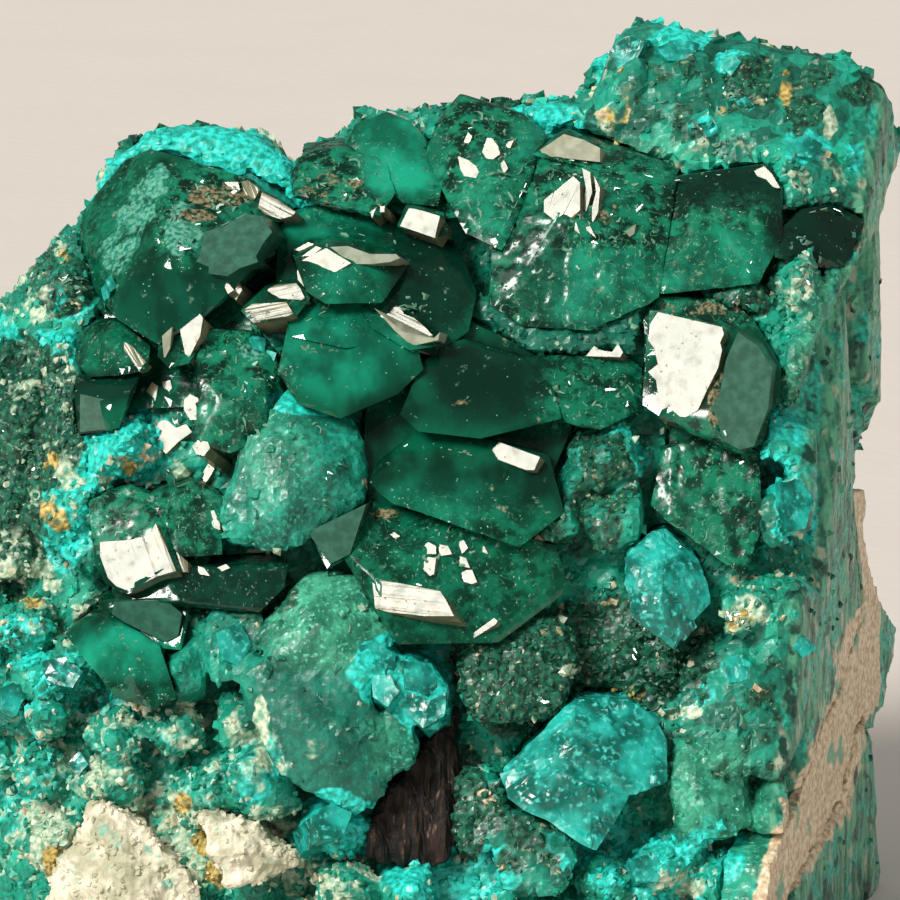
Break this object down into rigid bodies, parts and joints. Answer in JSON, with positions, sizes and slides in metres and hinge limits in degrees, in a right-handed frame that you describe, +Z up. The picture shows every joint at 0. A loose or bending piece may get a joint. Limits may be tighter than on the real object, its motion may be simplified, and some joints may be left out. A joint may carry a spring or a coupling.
{
  "type": "dioptase mineral specimen",
  "caption": "Broken piece of massive dioptase crusted with dark green dioptase crystals, with calcite and limonite; rests on a flat broken base.",
  "frame": {"origin": "on the flat broken base, near its middle, below the middle of the front view", "axes": "+Z up from the base, -Y towards the crystal-covered front that the picture shows, +X to the right of that front"},
  "size_m": [0.0539, 0.0364, 0.045],
  "materials": {
    "massive_dioptase": "granular and frosted, teal",
    "dark_dioptase": "glassy, see-through dark emerald green",
    "pale_dioptase": "glassy, cleaved, bright turquoise green",
    "calcite": "sugary, cream white",
    "stained_calcite": "dull, tan",
    "limonite": "earthy, brown-black"
  },
  "bodies": {
    "root": {"massive_dioptase": "massive_dioptase", "central_crystals": "dark_dioptase", "left_crystals": "dark_dioptase", "upper_crystals": "dark_dioptase", "shelf_crystals": "dark_dioptase", "right_crystals": "dark_dioptase", "lower_left_crystals": "dark_dioptase", "turquoise_crystal": "pale_dioptase", "cleavage_piece": "pale_dioptase", "calcite_patch": "calcite", "calcite_grain": "calcite", "calcite_vein": "stained_calcite", "limonite_pocket": "limonite"}
  },
  "joints": []
}
